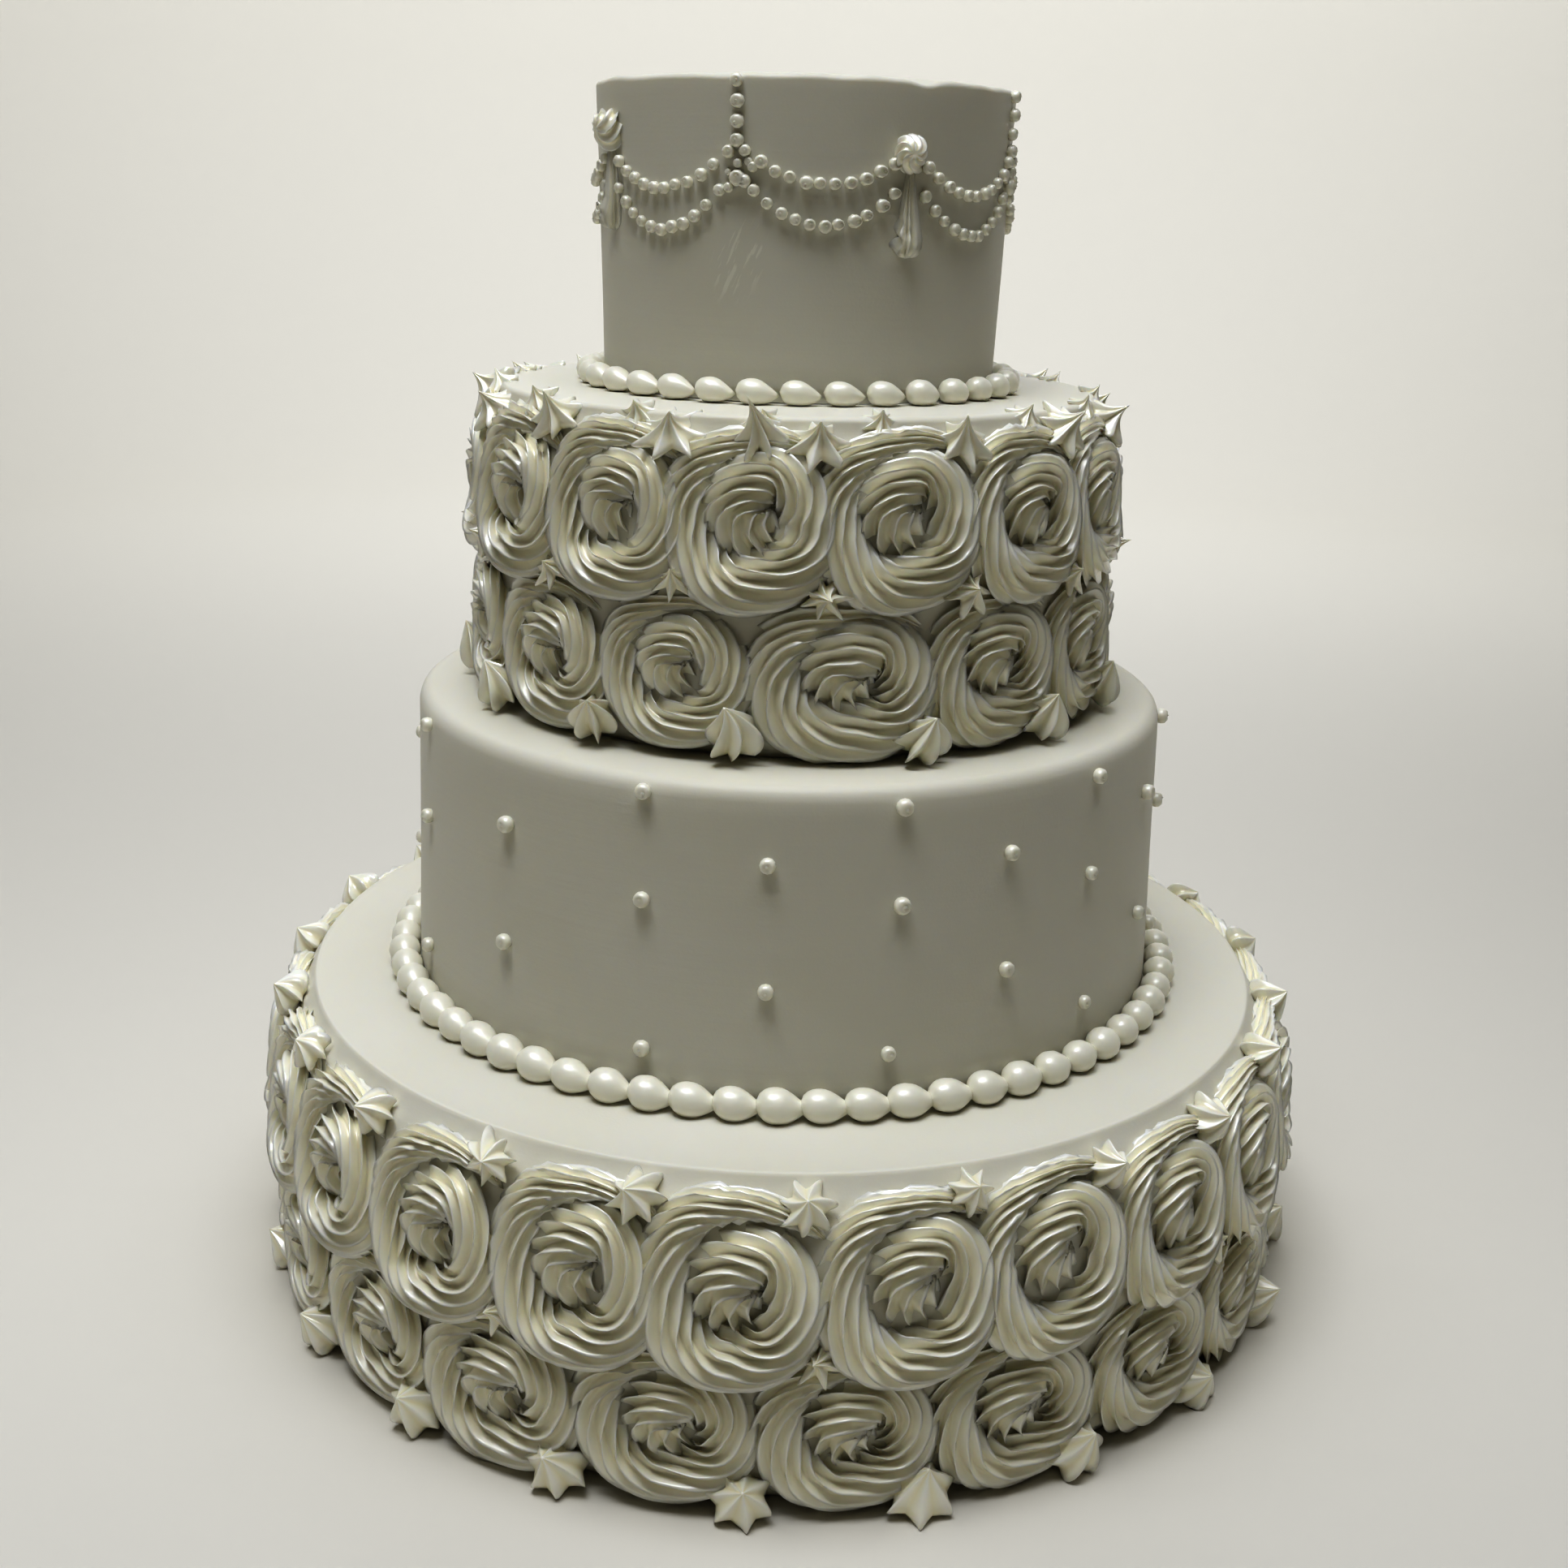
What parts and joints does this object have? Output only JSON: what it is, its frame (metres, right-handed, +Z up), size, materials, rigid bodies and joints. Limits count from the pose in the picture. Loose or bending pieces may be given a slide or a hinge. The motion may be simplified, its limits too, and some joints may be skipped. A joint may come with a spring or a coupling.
{
  "type": "tiered wedding cake",
  "caption": "Tall round wedding cake in ivory buttercream, its smooth tiers with pearls and garlands alternating with tiers covered in piped rosettes.",
  "frame": {"origin": "middle of the underside of the bottom tier", "axes": "+Z up along the common axis of the tiers; the front, with the longest pearl string to its left, faces -Y; +X is to its right"},
  "size_m": [0.459, 0.4592, 0.4989],
  "materials": {
    "smooth_buttercream": "smooth ivory buttercream, spread with a palette knife, soft satin",
    "piped_buttercream": "ivory buttercream piped through a star nozzle, satin with a faint pearl dust",
    "pearl_buttercream": "piped ivory beads and tassels with a pearl dust, semi-gloss"
  },
  "bodies": {
    "root": {"tier_1": "smooth_buttercream", "tier_1_rosettes": "piped_buttercream", "tier_2": "smooth_buttercream", "tier_2_bead_border": "pearl_buttercream", "tier_3": "smooth_buttercream", "tier_3_rosettes": "piped_buttercream", "tier_4": "smooth_buttercream", "tier_4_bead_border": "pearl_buttercream", "tier_4_rosebud_1": "piped_buttercream", "tier_4_rosebud_2": "piped_buttercream", "tier_4_rosebud_3": "piped_buttercream", "tier_4_rosebud_4": "piped_buttercream", "tier_4_tassel_1": "pearl_buttercream", "tier_4_tassel_2": "pearl_buttercream", "tier_4_tassel_3": "pearl_buttercream", "tier_4_tassel_4": "pearl_buttercream"}
  },
  "joints": []
}
